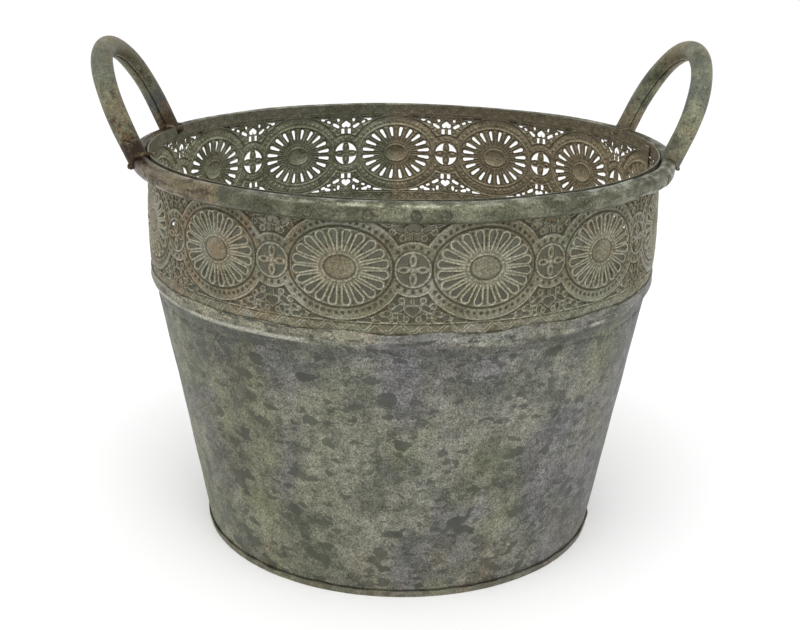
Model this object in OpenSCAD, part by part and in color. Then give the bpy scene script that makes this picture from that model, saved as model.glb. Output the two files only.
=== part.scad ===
// Round galvanised bucket with a stamped openwork band, a rolled rim hoop and two tube handles.
// Millimetres. The origin is the centre of the foot, +Z is up and the handles stand on the X axis.

/* [Body] */
// Outer diameter of the wall at its foot
foot_d = 200; // [170:1:230]
// Thickness of the wall and base sheet
sheet_t = 0.8; // [0.6:0.1:1.2]
// Height at which the straight taper ends and the shoulder begins
taper_z = 125; // [110:1:126]
// Outer diameter at the end of the taper
taper_d = 243.8; // [225:0.1:244]
// Height of the shoulder's crest
shoulder_z = 132.6; // [130:0.1:134]
// Height of the collar's top edge
collar_z = 137.5; // [136:0.5:140]
// Outer diameter of the collar
collar_d = 249.8; // [249.4:0.1:252]

/* [Base] */
// Height of the hem that clasps the wall's foot
hem_h = 3.2; // [2:0.1:5]
// Height of the recessed base panel's underside
panel_z = 4; // [2:0.5:8]
// Diameter of the recessed base panel
panel_d = 184; // [150:1:190]

/* [Openwork band] */
// Number of medallions round the band
medallions = 13; // [9:1:15]
// Angle from the front to the first medallion
first_medallion_angle = -14.8; // [-20:0.1:20]
// Height of the medallions' centres
band_mid_z = 165.1; // [164:0.1:167]
// Outer diameter of the band at its fullest
band_d = 249.6; // [249:0.1:250]
// Thickness of the band's sheet
band_t = 0.6; // [0.5:0.1:0.8]
// Width of a medallion's outline
medallion_w = 43; // [36:0.5:44]
// Height of a medallion's outline
medallion_h = 35.5; // [30:0.5:36]
// Number of petal slots in a medallion
petals = 20; // [12:2:24]
// Diameter of the open flower roundels between the medallions
roundel_d = 13.4; // [10:0.2:14]

/* [Rim] */
// Height of the rim hoop's top
rim_top_z = 194; // [193:0.5:198]
// Height of the hoop's section
rim_h = 9; // [8:0.1:11]
// Radial width of the hoop's section
rim_w = 7.6; // [6:0.1:9]
// Thickness of the hoop's sheet
rim_t = 0.9; // [0.6:0.1:1.2]

/* [Handles] */
// Outer diameter of the handle tube
tube_d = 10; // [8:0.5:12]
// Wall of the handle tube
tube_t = 1; // [0.8:0.1:1.5]
// Distance between the centres of a handle's two feet
foot_span = 78.4; // [70:0.2:90]
// Height of the straight legs below the loop's arc
leg_h = 12.2; // [4:0.2:16]
// Outward tilt of the handle loops
handle_tilt = 23.8; // [10:0.1:35]
// Angle from the front to the middle of each handle
handle_angle = 93.6; // [85:0.1:95]

/* [Hidden] */
$fn = 96;

foot_r = foot_d / 2;
taper_r = taper_d / 2;
collar_r = collar_d / 2;
band_r = band_d / 2;
rim_gap = 0.1;

// The wall's outer line from its foot to the collar's top edge, as [radius, height]
wall_line = [
    [foot_r, sheet_t],
    [taper_r, taper_z],
    [taper_r + 0.4, taper_z + 2],
    [collar_r - 0.6, shoulder_z - 1.2],
    [collar_r, shoulder_z],
    [collar_r, collar_z]
];
wall_slope = (taper_r - foot_r) / (taper_z - sheet_t);

// The lap seam stands proud of the wall below the right handle
seam_angle = 96;
seam_w = 4;
seam_bottom_z = hem_h + 0.6;

// The hem lies close outside the wall's foot, which flares upwards
hem_gap = 0.05;
hem_in_r = foot_r + hem_gap;
hem_foot_in_r = foot_r - 5;
panel_r = panel_d / 2;

// The band's outer line, tucked inside the collar and under the rim hoop
band_tuck = 4.3;
band_tuck_r = collar_r - sheet_t - 0.1;
band_top_z = rim_top_z - 1.4;
band_top_r = band_r - 0.9;
band_line = [
    [band_tuck_r, collar_z - band_tuck],
    [band_tuck_r, collar_z + 0.6],
    [band_r, collar_z + 8],
    [band_r, band_mid_z - 3],
    [band_top_r, rim_top_z - rim_h - 0.5],
    [band_top_r, band_top_z]
];
pitch_angle = 360 / medallions;

// The rim hoop's section is two circles joined by a flat
rim_in_r = band_top_r + rim_gap;
rim_mid_r = rim_in_r + rim_w / 2;
rim_low_z = rim_top_z - rim_h + rim_w / 2;
rim_high_z = rim_top_z - rim_w / 2;
rim_slit = 0.8;

// The handle feet stand over the outer half of the hoop
tube_r = tube_d / 2;
foot_ring_r = rim_mid_r + 0.9;
loop_r = foot_span / 2;
foot_x = sqrt(foot_ring_r * foot_ring_r - loop_r * loop_r);
foot_z = rim_top_z - 2.8;
foot_drop = 1.5;
tube_slit = 1;

// The weld round each foot
weld_r = 6.8;
weld_up = 2.2;

// The rivet heads on the hoop's outer face, as angles from the front
rivet_angles = [-19.8, -9.1, -0.7, 4.5, 32.2, 62, 118, 150, 181, 221, 300];
rivet_r = 2.7;
rivet_proud = 0.6;
rivet_root_r = rim_mid_r + 1.5;
rivet_seat_r = 8;
rivet_h = rim_mid_r + rim_w / 2 + rivet_proud - rivet_root_r;
rivet_z = rim_top_z - rim_h / 2 - 0.7;

galvanised = [0.50, 0.50, 0.45];
zinc_band = [0.56, 0.55, 0.47];
rim_zinc = [0.45, 0.46, 0.39];
weld_brown = [0.30, 0.22, 0.16];

// Turns an outer line into a closed sheet section of thickness t
function sheet_section(line, t) =
    concat(line, [for (i = [len(line) - 1:-1:0]) [line[i][0] - t, line[i][1]]]);

module body_wall() {
    color(galvanised) {
        rotate_extrude() polygon(sheet_section(wall_line, sheet_t));
        wall_lap_seam();
    }
}

// The second layer of sheet along the wall's lap seam
module wall_lap_seam() {
    seam_low_r = foot_r + wall_slope * (seam_bottom_z - sheet_t);
    rotate([0, 0, seam_angle - 90 - seam_w / 2])
        rotate_extrude(angle = seam_w)
            polygon([
                [seam_low_r, seam_bottom_z],
                [seam_low_r + sheet_t, seam_bottom_z],
                [taper_r + sheet_t, taper_z],
                [taper_r, taper_z]
            ]);
}

// A dished disc whose edge turns down to the foot and up round the wall
module base_plate() {
    color(galvanised)
        rotate_extrude()
            polygon([
                [0, panel_z],
                [panel_r, panel_z],
                [hem_foot_in_r, 0],
                [hem_in_r + sheet_t, 0],
                [hem_in_r + sheet_t + wall_slope * hem_h, hem_h],
                [hem_in_r + wall_slope * hem_h, hem_h],
                [hem_in_r, sheet_t],
                [hem_foot_in_r + 0.4, sheet_t],
                [panel_r + 0.3, panel_z + sheet_t],
                [0, panel_z + sheet_t]
            ]);
}

// Cuts a flat shape through the band at a distance round it and a height above its middle
module band_cut(along, up) {
    rotate([0, 0, along / band_r * 180 / PI])
        translate([0, 3 - band_r, band_mid_z + up])
            rotate([90, 0, 0])
                linear_extrude(height = 6)
                    children();
}

// One petal slot, wider and round at its outer end
module petal_slot(angle) {
    outer = [0.88 * medallion_w / 2 * cos(angle), 0.88 * medallion_h / 2 * sin(angle)];
    inner = [0.58 * medallion_w / 2 * cos(angle), 0.58 * medallion_h / 2 * sin(angle)];
    span = outer - inner;
    slot_l = norm(span) - 1;
    band_cut(inner[0], inner[1])
        rotate(atan2(span[1], span[0])) {
            polygon([[0, -0.5], [slot_l, -1], [slot_l, 1], [0, 0.5]]);
            translate([slot_l, 0]) circle(r = 1);
        }
}

// The four openings of a roundel, left between its cross of petals
module roundel_openings() {
    difference() {
        circle(d = roundel_d);
        square([roundel_d, 2.4], center = true);
        square([2.4, roundel_d], center = true);
    }
}

// A heart with its point at the top
module heart_opening() {
    polygon([[-2.7, -0.4], [0, 2.1], [2.7, -0.4]]);
    translate([-1.35, -0.4]) circle(r = 1.35);
    translate([1.35, -0.4]) circle(r = 1.35);
}

// The stamped openwork strip with its medallions, roundels and hearts
module pierced_band() {
    color(zinc_band)
        difference() {
            rotate_extrude() polygon(sheet_section(band_line, band_t));
            for (i = [0:medallions - 1])
                rotate([0, 0, first_medallion_angle + i * pitch_angle]) {
                    for (k = [0:petals - 1]) petal_slot((k + 0.5) * 360 / petals);
                    rotate([0, 0, pitch_angle / 2]) spandrel_cuts();
                }
        }
}

// The openings between two medallions
module spandrel_cuts() {
    band_cut(0, 0) roundel_openings();
    for (side = [-1, 1]) {
        band_cut(0, side * 17.6) scale([1, side]) heart_opening();
        for (across = [-1, 1]) {
            band_cut(across * 1.9, side * 13.3) square([1.9, 2.8], center = true);
            band_cut(across * 6.1, side * 16.8) circle(r = 1);
            band_cut(across * 4.6, side * 20.4) square([1.5, 2.4], center = true);
        }
    }
}

// The hoop's outer section, filled
module rim_section() {
    translate([rim_mid_r, rim_low_z]) circle(d = rim_w);
    translate([rim_mid_r, rim_high_z]) circle(d = rim_w);
    translate([rim_mid_r - rim_w / 2, rim_low_z]) square([rim_w, rim_high_z - rim_low_z]);
}

module rim_solid() {
    rotate_extrude() rim_section();
}

// A hoop rolled from sheet, with its slit against the band
module rim_hoop() {
    bore = rim_w - 2 * rim_t;
    color(rim_zinc)
        rotate_extrude()
            difference() {
                rim_section();
                translate([rim_mid_r, rim_low_z]) circle(d = bore);
                translate([rim_mid_r, rim_high_z]) circle(d = bore);
                translate([rim_mid_r - bore / 2, rim_low_z]) square([bore, rim_high_z - rim_low_z]);
                translate([rim_in_r - 1, rim_low_z - rim_slit / 2]) square([rim_w / 2, rim_slit]);
            }
}

// Puts a handle's own axes in place: X across the feet, Y up the loop
module handle_frame(side) {
    turn = side > 0 ? handle_angle - 90 : 270 - handle_angle;
    rotate([0, 0, turn])
        translate([foot_x, 0, foot_z])
            rotate([0, handle_tilt, 0])
                rotate([90, 0, 90])
                    children();
}

// The tube's section, with its slit towards the inside of the loop
module tube_section(hollow) {
    difference() {
        circle(d = tube_d);
        if (hollow) {
            circle(d = tube_d - 2 * tube_t);
            translate([-tube_r - 1, -tube_slit / 2]) square([tube_r, tube_slit]);
        }
    }
}

// The loop of tube: an arc on two straight legs
module tube_loop(hollow, extra) {
    translate([0, leg_h, 0])
        rotate_extrude(angle = 180) translate([loop_r, 0]) tube_section(hollow);
    for (end = [0, 180])
        translate([0, leg_h, 0])
            rotate([90, end, 0])
                linear_extrude(height = leg_h + foot_drop + extra)
                    translate([loop_r, 0]) tube_section(hollow);
}

module handle(side) {
    difference() {
        handle_frame(side) tube_loop(true, 0);
        rim_solid();
    }
}

module left_handle() {
    color(rim_zinc) handle(-1);
}

module right_handle() {
    color(rim_zinc) handle(1);
}

// A weld bead between one foot and the hoop
module weld(side, end) {
    color(weld_brown)
        difference() {
            intersection() {
                handle_frame(side) translate([end * loop_r, weld_up, 0]) sphere(r = weld_r);
                translate([0, 0, rim_top_z - 4])
                    difference() {
                        cylinder(r = rim_mid_r + rim_w / 2 + 0.8, h = 10, $fn = 256);
                        translate([0, 0, -1]) cylinder(r = rim_in_r, h = 12, $fn = 256);
                    }
            }
            handle_frame(side) tube_loop(false, 3);
            rim_solid();
        }
}

module left_front_weld() {
    weld(-1, 1);
}

module left_back_weld() {
    weld(-1, -1);
}

module right_front_weld() {
    weld(1, -1);
}

module right_back_weld() {
    weld(1, 1);
}

// The low rivet heads, hollowed at the back to lie on the hoop's outer face
module rim_rivets() {
    color(rim_zinc)
        for (angle = rivet_angles)
            rotate([0, 0, angle])
                difference() {
                    translate([0, -rivet_root_r, rivet_z])
                        rotate([90, 0, 0])
                            cylinder(r = rivet_r, h = rivet_h);
                    translate([0, 0, rivet_z])
                        rotate_extrude($fn = 720)
                            translate([rim_mid_r + rim_w / 2 - rivet_seat_r, 0])
                                circle(r = rivet_seat_r, $fn = 360);
                }
}

body_wall();
base_plate();
pierced_band();
rim_hoop();
left_handle();
right_handle();
left_front_weld();
left_back_weld();
right_front_weld();
right_back_weld();
rim_rivets();
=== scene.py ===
"""Looks of the florist bucket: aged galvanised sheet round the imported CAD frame.

Lengths are millimetres while modelling, and turn into metres where a mesh is made.
Angles round the bucket are measured from the front, -Y, towards +X.
"""

import math

import bpy
import numpy as np
from mathutils import Matrix, Vector


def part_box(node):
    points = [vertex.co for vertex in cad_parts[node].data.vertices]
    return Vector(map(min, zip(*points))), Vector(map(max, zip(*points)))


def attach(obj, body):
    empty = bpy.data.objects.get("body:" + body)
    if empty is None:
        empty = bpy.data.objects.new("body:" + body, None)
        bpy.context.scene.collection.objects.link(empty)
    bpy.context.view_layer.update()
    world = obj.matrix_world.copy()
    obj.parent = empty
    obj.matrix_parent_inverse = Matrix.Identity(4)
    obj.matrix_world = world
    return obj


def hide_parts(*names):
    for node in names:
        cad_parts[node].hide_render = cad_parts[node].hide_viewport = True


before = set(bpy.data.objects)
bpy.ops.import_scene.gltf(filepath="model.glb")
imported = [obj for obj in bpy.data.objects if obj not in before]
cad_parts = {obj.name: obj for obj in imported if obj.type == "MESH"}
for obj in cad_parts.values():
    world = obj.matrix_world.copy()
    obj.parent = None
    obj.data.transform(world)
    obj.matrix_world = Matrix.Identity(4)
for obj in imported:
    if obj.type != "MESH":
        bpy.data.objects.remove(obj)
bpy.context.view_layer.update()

MM = 0.001
RNG_SEED = 41


# ---- sizes taken from the frame


def node_sizes(name):
    """A round CAD node's outer radius, lowest and highest point, in millimetres."""
    low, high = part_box(name)
    return high[0] / MM, low[2] / MM, high[2] / MM


SHEET_T = 0.8
BAND_T = 0.6
COLLAR_R, WALL_FOOT_Z, COLLAR_Z = node_sizes("body_wall")
HEM_R = node_sizes("base_plate")[0]
BAND_R, BAND_LOW_Z, BAND_TOP_Z = node_sizes("pierced_band")
RIM_R, RIM_LOW_Z, RIM_TOP_Z = node_sizes("rim_hoop")

MEDALLIONS = 13
FIRST_MEDALLION = math.radians(-14.8)
PITCH = 2 * math.pi / MEDALLIONS
BAND_MID_Z = RIM_TOP_Z - 28.9


# ---- mesh helpers


def make_piece(name, points, faces, material, replaced, floats=None, uv=None):
    """A mesh piece from points in millimetres, riding on the root body."""
    mesh = bpy.data.meshes.new(name)
    mesh.from_pydata((np.asarray(points) * MM).tolist(), [], faces)
    mesh.update()
    mesh.polygons.foreach_set("use_smooth", [True] * len(mesh.polygons))
    for key, values in (floats or {}).items():
        layer = mesh.attributes.new(key, "FLOAT", "POINT")
        layer.data.foreach_set("value", np.asarray(values, dtype=np.float32))
    if uv is not None:
        layer = mesh.uv_layers.new(name="OFBake")
        loop_points = np.empty(len(mesh.loops), dtype=np.int32)
        mesh.loops.foreach_get("vertex_index", loop_points)
        layer.data.foreach_set("uv", np.asarray(uv, dtype=np.float32)[loop_points].ravel())
    mesh.materials.append(material)
    piece = bpy.data.objects.new(name, mesh)
    bpy.context.scene.collection.objects.link(piece)
    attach(piece, "root")
    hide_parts(*replaced)


def on_circle(radius, angle, height):
    """Points at an angle from the front, as an array of x, y, z."""
    return np.stack([radius * np.sin(angle), -radius * np.cos(angle), height + 0 * angle], axis=-1)


def wave_noise(angle, height, seed, terms=7, slow=9, tall=0.05):
    """Smooth noise that closes on itself round the bucket, between about -1 and 1."""
    rng = np.random.default_rng(seed)
    total = 0 * (angle + height)
    for _ in range(terms):
        turns = rng.integers(1, slow + 1)
        slant = rng.uniform(-tall, tall)
        total = total + np.sin(turns * angle + slant * height + rng.uniform(0, 2 * math.pi))
    return total / math.sqrt(terms)


def lathe_faces(rings, steps, closed):
    """Quads between closed rings of points, from the last ring to the first too where closed."""
    count = rings if closed else rings - 1
    i = np.arange(count)[:, None]
    j = np.arange(steps)[None, :]
    nxt = (j + 1) % steps
    up = (i + 1) % rings
    quads = np.stack([i * steps + j, i * steps + nxt, up * steps + nxt, up * steps + j], axis=-1)
    return quads.reshape(-1, 4).tolist()


def resample(line, spacing):
    """Points along a polyline at no more than the given spacing, corners kept."""
    out = [np.array(line[0], dtype=float)]
    for a, b in zip(line[:-1], line[1:]):
        a, b = np.array(a, dtype=float), np.array(b, dtype=float)
        steps = max(1, int(math.ceil(np.linalg.norm(b - a) / spacing)))
        out += [a + (b - a) * k / steps for k in range(1, steps + 1)]
    return np.array(out)


def rounded(line, cut=1.0, steps=3):
    """A polyline with each corner turned into a short curve, ends kept."""
    pts = [np.array(p, dtype=float) for p in line]
    out = [pts[0]]
    for a, b, c in zip(pts, pts[1:], pts[2:]):
        start = b + (a - b) * min(cut / np.linalg.norm(a - b), 0.5)
        end = b + (c - b) * min(cut / np.linalg.norm(c - b), 0.5)
        for t in np.linspace(0, 1, steps + 1):
            out.append((1 - t) ** 2 * start + 2 * t * (1 - t) * b + t * t * end)
    return np.array(out + [pts[-1]])


# ---- node materials


class Nodes:
    """Short calls for building one material's node tree. Colours are 0 to 255 values.

    place is the position on the object in metres, which every pattern starts from."""

    def __init__(self, name):
        self.material = bpy.data.materials.new(name)
        self.material.use_nodes = True
        self.tree = self.material.node_tree
        self.tree.nodes.clear()
        self.place = self.new("ShaderNodeTexCoord").outputs["Object"]

    def new(self, kind, inputs=None, **settings):
        node = self.tree.nodes.new(kind)
        for key, value in settings.items():
            setattr(node, key, value)
        for key, value in (inputs or {}).items():
            self.put(node.inputs[key], value)
        return node

    def put(self, socket, value):
        if isinstance(value, bpy.types.NodeSocket):
            self.tree.links.new(value, socket)
        elif isinstance(value, bpy.types.Node):
            self.tree.links.new(value.outputs[0], socket)
        elif socket.type == "RGBA":
            socket.default_value = srgb(*value)
        else:
            socket.default_value = value

    def math(self, operation, a, b=0.0):
        return self.new("ShaderNodeMath", {0: a, 1: b}, operation=operation).outputs[0]

    def times(self, a, b):
        return self.math("MULTIPLY", a, b)

    def plus(self, a, b):
        return self.math("ADD", a, b)

    def most(self, a, b):
        return self.math("MAXIMUM", a, b)

    def vector(self, operation, a, b):
        return self.new("ShaderNodeVectorMath", {0: a, 1: b}, operation=operation)

    def ramp(self, value, low, high, out_low=0.0, out_high=1.0, smooth=True):
        """A value carried from one range to another and held at its ends."""
        span = {"Value": value, "From Min": low, "From Max": high, "To Min": out_low, "To Max": out_high}
        kind = "SMOOTHSTEP" if smooth else "LINEAR"
        return self.new("ShaderNodeMapRange", span, clamp=True, interpolation_type=kind).outputs["Result"]

    def mix(self, factor, a, b, blend="MIX"):
        inputs = {0: factor, 6: a, 7: b}
        return self.new("ShaderNodeMix", inputs, data_type="RGBA", blend_type=blend).outputs[2]

    def lay(self, colour, over, mask, amount):
        """A colour with another laid over it where a mask says, at most by an amount."""
        return self.mix(self.times(mask, amount), colour, over)

    def dye(self, colour, tint, amount=1.0):
        """A colour multiplied by a tint."""
        return self.mix(amount, colour, tint, "MULTIPLY")

    def noise(self, scale, detail=3.0, rough=0.55, coords=None, output="Fac"):
        inputs = {"Vector": coords or self.place, "Scale": scale, "Detail": detail, "Roughness": rough}
        return self.new("ShaderNodeTexNoise", inputs).outputs[output]

    def cells(self, coords, scale):
        """Three random numbers for each cell of a Voronoi pattern, as X, Y and Z."""
        node = self.new("ShaderNodeTexVoronoi", {"Vector": coords, "Scale": scale})
        return self.axes(node.outputs["Color"])

    def attribute(self, name):
        return self.new("ShaderNodeAttribute", attribute_name=name).outputs["Fac"]

    def axes(self, vector):
        return self.new("ShaderNodeSeparateXYZ", {"Vector": vector}).outputs

    def azimuth(self):
        """Angle round the bucket from the front, in degrees."""
        axes = self.axes(self.place)
        return self.math("DEGREES", self.math("ARCTAN2", axes["X"], self.times(axes["Y"], -1.0)))

    def height(self):
        """Height above the floor, in millimetres."""
        return self.times(self.axes(self.place)["Z"], 1 / MM)

    def stretch(self, x, y, z):
        return self.vector("MULTIPLY", self.place, (x, y, z))

    def shift(self, coords, scale, amount):
        """Positions pushed about by noise, so that what is drawn from them has uneven edges."""
        colour = self.noise(scale, 2.0, coords=coords, output="Color")
        centred = self.vector("SUBTRACT", colour, (0.5, 0.5, 0.5))
        push = self.new("ShaderNodeVectorMath", {0: centred, "Scale": amount}, operation="SCALE")
        return self.vector("ADD", coords, push)

    def spot(self, centre, near, far):
        """1 within near millimetres of a point, 0 beyond far."""
        away = self.vector("DISTANCE", self.place, tuple(float(v) * MM for v in centre))
        return self.ramp(away.outputs["Value"], near * MM, far * MM, 1.0, 0.0)

    def between(self, value, low, high, soft):
        """1 where a value lies between two limits, with soft edges."""
        rise = self.ramp(value, low - soft, low + soft)
        return self.times(rise, self.ramp(value, high - soft, high + soft, 1.0, 0.0))

    def speckled(self, colour, strength=0.8):
        """A colour with coarse and fine speckle and a few bright grains."""
        coarse = self.ramp(self.noise(620, 4.0, 0.78), 0.34, 0.66, 0.72, 1.28, smooth=False)
        fine = self.ramp(self.noise(1250, 2.0, 0.8), 0.32, 0.68, 0.40, 1.66, smooth=False)
        grains = self.ramp(self.noise(950, 3.0, 0.75), 0.64, 0.72, 0.0, 0.6)
        rough = self.mix(grains, self.dye(self.dye(colour, coarse), fine), (172, 172, 158))
        return self.mix(strength, colour, rough)

    def finish(self, colour, roughness, metallic, bump, bump_mm):
        """The whole material, with little white gloss over its dark metal."""
        rough_up = self.new("ShaderNodeBump", {"Height": bump, "Strength": 1.0, "Distance": bump_mm * MM})
        looks = {"Base Color": colour, "Roughness": roughness, "Metallic": metallic, "Normal": rough_up}
        shader = self.new("ShaderNodeBsdfPrincipled", looks)
        shader.inputs["Specular IOR Level"].default_value = 0.25
        self.new("ShaderNodeOutputMaterial", {"Surface": shader})
        return self.material


def srgb(red, green, blue):
    """A shader colour from the 0 to 255 values that it shows on a screen."""
    return tuple(((v / 255 + 0.055) / 1.055) ** 2.4 for v in (red, green, blue)) + (1.0,)


# ---- the stamped band's pattern
#
# A tile is one medallion and half of the spandrel on each side of it. x runs along the band from
# the medallion's centre and y up from the band's middle, and both are folded to one quarter, so
# each feature is placed once. The spandrel's own x, called gap, runs from the roundel's centre.

TILE_W = PITCH * (BAND_R - BAND_T / 2)
MEDALLION = (21.8, 16.6)
PETAL_OVAL = (23.0, 17.75)
SCALLOP = (26.3, 22.0)
DOT_RING = (24.1, 19.35)
QUARTER_DOTS = 12
DOME = (6.3, 4.7)
DOME_GROOVE = (6.6, 5.0)
DOME_BEAD = (7.6, 5.8)
DOME_DIMPLES = (8.7, 6.8)
PETALS = 20
# a petal's start and end, as shares of the oval, and its radii there
PETAL_SLOT = (0.60, 0.83, 0.55, 0.95)
PETAL_OUTLINE = (0.41, 0.805, 0.45, 1.75)
ROUNDEL_R = 7.2
ROUNDEL_HOLE_R = 6.5
ROUNDEL_DOT_R = 9.4
ROUNDEL_SCALLOP_R = 11.2
BORDER_Y = 22.9
ZIGZAG_LOW_Y = 23.7
ZIGZAG_HIGH_Y = 27.0
TOP_GROOVE_Y = 27.9
ZIGZAGS = 6
CHEVRON_HALF = 0.62
LINE_W = 0.42
GRID_STEP = 0.4
BAND_LIP_Z = RIM_TOP_Z - 0.2


def ellipse_gap(x, y, half):
    """Distance to an ellipse, negative inside, true near its line."""
    k = np.hypot(x / half[0], y / half[1])
    slope = np.hypot(x / half[0] ** 2, y / half[1] ** 2)
    return (k - 1) * k / np.maximum(slope, 1e-6)


def capsule(x, y, start, end, r_start, r_end):
    """Distance to a rod with round ends of two radii."""
    ax, ay = end[0] - start[0], end[1] - start[1]
    t = np.clip(((x - start[0]) * ax + (y - start[1]) * ay) / (ax * ax + ay * ay + 1e-9), 0, 1)
    return np.hypot(x - start[0] - t * ax, y - start[1] - t * ay) - (r_start + (r_end - r_start) * t)


def rounded_box(x, y, centre, half, radius):
    """Distance to a rectangle with round corners."""
    qx = np.abs(x - centre[0]) - half[0] + radius
    qy = np.abs(y - centre[1]) - half[1] + radius
    return np.hypot(np.maximum(qx, 0), np.maximum(qy, 0)) + np.minimum(np.maximum(qx, qy), 0) - radius


def line(distance, height=0.42, width=LINE_W):
    """A raised bead along a line."""
    return height * np.exp(-((distance / width) ** 2))


def petal(x, y, index, inner, outer, r_inner, r_outer):
    """Distance to one of the medallion's petals."""
    angle = (index + 0.5) * 2 * math.pi / PETALS
    along = np.array([math.cos(angle), math.sin(angle)]) * PETAL_OVAL
    return capsule(x, y, along * inner, along * outer, r_inner, r_outer)


def quarter_petals(x, y, *size):
    """Distance to the nearest petal of a folded quarter."""
    return np.min([petal(x, y, k, *size) for k in range(PETALS // 4)], axis=0)


def heart(gap, y):
    """Distance to the heart, its point away from the band's middle."""
    return capsule(gap, y, (1.28, 17.0), (0.0, 19.3), 1.42, 0.2)


def window(gap, y):
    """Distance to the small upright opening under the heart."""
    return rounded_box(gap, y, (1.95, 13.4), (0.95, 1.45), 0.35)


def cross_petals(gap, y):
    """Distance to the roundel's four petals, wide in the middle and narrow at the ends."""

    def pair(along, across):
        return np.abs(across) - (1.2 + 0.85 * np.sin(math.pi * np.clip(along / ROUNDEL_HOLE_R, 0, 1)))

    return np.minimum(pair(y, gap), pair(gap, y))


SMALL_HOLES = (
    # start, end, start radius, end radius
    ((4.9, 16.0), (7.3, 17.3), 0.85, 0.8),
    ((4.6, 19.8), (4.8, 21.0), 0.8, 0.75),
    ((6.8, 21.7), (7.3, 21.3), 0.55, 0.4),
    ((10.0, 21.6), (12.0, 21.3), 0.6, 0.95),
    ((9.9, 18.6), (10.9, 19.0), 0.55, 0.7),
    ((13.6, 20.3), (14.6, 20.6), 0.85, 0.8),
    ((17.2, 21.75), (21.9, 22.15), 0.65, 0.2),
)
CURLS = (
    # centre, radius
    ((4.4, 13.0), 1.15),
    ((8.5, 15.6), 1.25),
    ((7.0, 19.4), 1.2),
    ((2.6, 21.0), 1.1),
    ((12.2, 19.4), 1.1),
    ((8.9, 21.3), 0.9),
    ((15.9, 21.2), 0.9),
)


def tile_holes(x, y):
    """Distance to the nearest opening, negative inside it."""
    gap = TILE_W / 2 - x
    roundel = np.maximum(np.hypot(gap, y) - ROUNDEL_HOLE_R, -cross_petals(gap, y))
    holes = [quarter_petals(x, y, *PETAL_SLOT), roundel, heart(gap, y), window(gap, y)]
    holes += [capsule(gap, y, *hole) for hole in SMALL_HOLES]
    return np.min(holes, axis=0)


def dot_places():
    """Centres of the dimples between the medallion's outline and its scallop, in one quarter."""
    turn = np.linspace(0, math.pi / 2, 400)
    ring = np.stack([DOT_RING[0] * np.cos(turn), DOT_RING[1] * np.sin(turn)], axis=1)
    run = np.concatenate([[0], np.cumsum(np.hypot(*np.diff(ring, axis=0).T))])
    step = run[-1] / QUARTER_DOTS
    picks = [ring[np.searchsorted(run, (k + 0.5) * step)] for k in range(QUARTER_DOTS)]
    dots = [p for p in picks if p[0] < MEDALLION[0] + 0.1]
    for degrees in (0, 20, 41):
        turn = math.radians(degrees)
        dots.append((TILE_W / 2 - ROUNDEL_DOT_R * math.sin(turn), ROUNDEL_DOT_R * math.cos(turn)))
    return dots


def zigzag_gap(x, y):
    """Distance to the zigzag's middle line, folded to half a period."""
    half = TILE_W / ZIGZAGS / 2
    q = np.abs((x / (2 * half)) % 1.0 - 0.5) * 2 * half
    turns = [(-1.0, ZIGZAG_LOW_Y), (0.17 * half, ZIGZAG_LOW_Y)]
    turns += [(0.83 * half, ZIGZAG_HIGH_Y), (half + 1, ZIGZAG_HIGH_Y)]
    return np.min([capsule(q, y, a, b, 0, 0) for a, b in zip(turns, turns[1:])], axis=0)


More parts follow.
